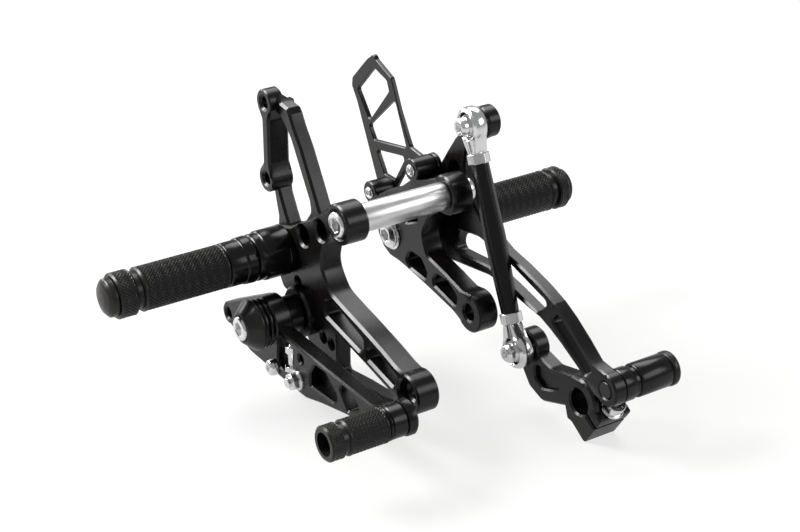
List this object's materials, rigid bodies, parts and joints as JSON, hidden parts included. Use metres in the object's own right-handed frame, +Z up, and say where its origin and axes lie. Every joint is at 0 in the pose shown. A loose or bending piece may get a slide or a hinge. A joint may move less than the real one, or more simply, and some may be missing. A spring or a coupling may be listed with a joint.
{
  "type": "motorcycle rear footrest set",
  "caption": "Adjustable-style rear footrest set with brake pedal, cross tube, shift lever, heel guard and shift linkage for a road motorcycle.",
  "frame": {"origin": "centre of the frame bolt hole in the brake plate, at the face that meets the frame", "axes": "+X from the brake side to the shift side along the cross tube, +Y towards the rear of the motorcycle, +Z up"},
  "size_m": [0.2711, 0.2194, 0.141],
  "materials": {
    "black_anodised": "satin black anodising on machined aluminium",
    "satin_aluminium": "satin",
    "zinc_steel": "bright zinc",
    "polished_steel": "polished"
  },
  "bodies": {
    "frame_set": {"cross_tube": "satin_aluminium", "tube_bolt_brake": "zinc_steel", "tube_bolt_shift": "zinc_steel", "brake_plate": "black_anodised", "brake_peg_sleeve": "black_anodised", "brake_peg_ring": "black_anodised", "brake_peg_grip": "black_anodised", "brake_peg_collar": "black_anodised", "brake_peg_cap": "black_anodised", "pivot_bush": "polished_steel", "pivot_spacer": "black_anodised", "pivot_washer": "black_anodised", "pivot_cap": "black_anodised", "pivot_bolt": "zinc_steel", "shift_plate": "black_anodised", "peg_bolt": "zinc_steel", "heel_guard": "black_anodised", "guard_spacers": "black_anodised", "guard_screws": "zinc_steel", "lever_bush": "polished_steel", "shift_peg_sleeve": "black_anodised", "shift_peg_grip": "black_anodised", "shift_peg_collar": "black_anodised", "shift_peg_cap": "black_anodised"},
    "brake_pedal_set": {"brake_pedal": "black_anodised", "brake_toe_base": "black_anodised", "brake_toe_grip": "black_anodised", "brake_toe_rim": "black_anodised", "stop_screw": "zinc_steel", "stop_nut": "zinc_steel", "stop_stud": "zinc_steel", "stop_washer": "zinc_steel", "stop_button": "zinc_steel"},
    "shift_lever_set": {"shift_lever": "black_anodised", "shift_toe_base": "black_anodised", "shift_toe_sleeve": "black_anodised", "shift_toe_rim": "black_anodised", "upper_ball": "polished_steel", "upper_ball_bolt": "zinc_steel"},
    "linkage_rod": {"upper_rod_end": "zinc_steel", "shift_rod": "black_anodised", "rod_lock_nuts": "zinc_steel", "lower_rod_end": "zinc_steel"},
    "shaft_clamp": {"lower_ball": "polished_steel", "lower_ball_bolt": "zinc_steel", "clamp_arm": "black_anodised", "pinch_bolt": "zinc_steel"}
  },
  "joints": [
    {"name": "brake_pedal_pivot", "type": "hinge", "parent": "frame_set", "child": "brake_pedal_set", "pos_m": [-0.025, 0.0924, 0.0029], "axis": [1, 0, 0], "range_deg": [0, 15]},
    {"name": "shift_lever_pivot", "type": "hinge", "parent": "frame_set", "child": "shift_lever_set", "pos_m": [0.0675, 0.1046, 0.0241], "axis": [1, 0, 0], "range_deg": [-7, 4]},
    {"name": "upper_rod_joint", "type": "hinge", "parent": "shift_lever_set", "child": "linkage_rod", "pos_m": [0.059, 0.0515, 0.0995], "axis": [1, 0, 0], "range_deg": [0, 1.5]},
    {"name": "lower_rod_joint", "type": "hinge", "parent": "linkage_rod", "child": "shaft_clamp", "pos_m": [0.059, 0.0101, -0.0029], "axis": [1, 0, 0], "range_deg": [0, 12]}
  ]
}
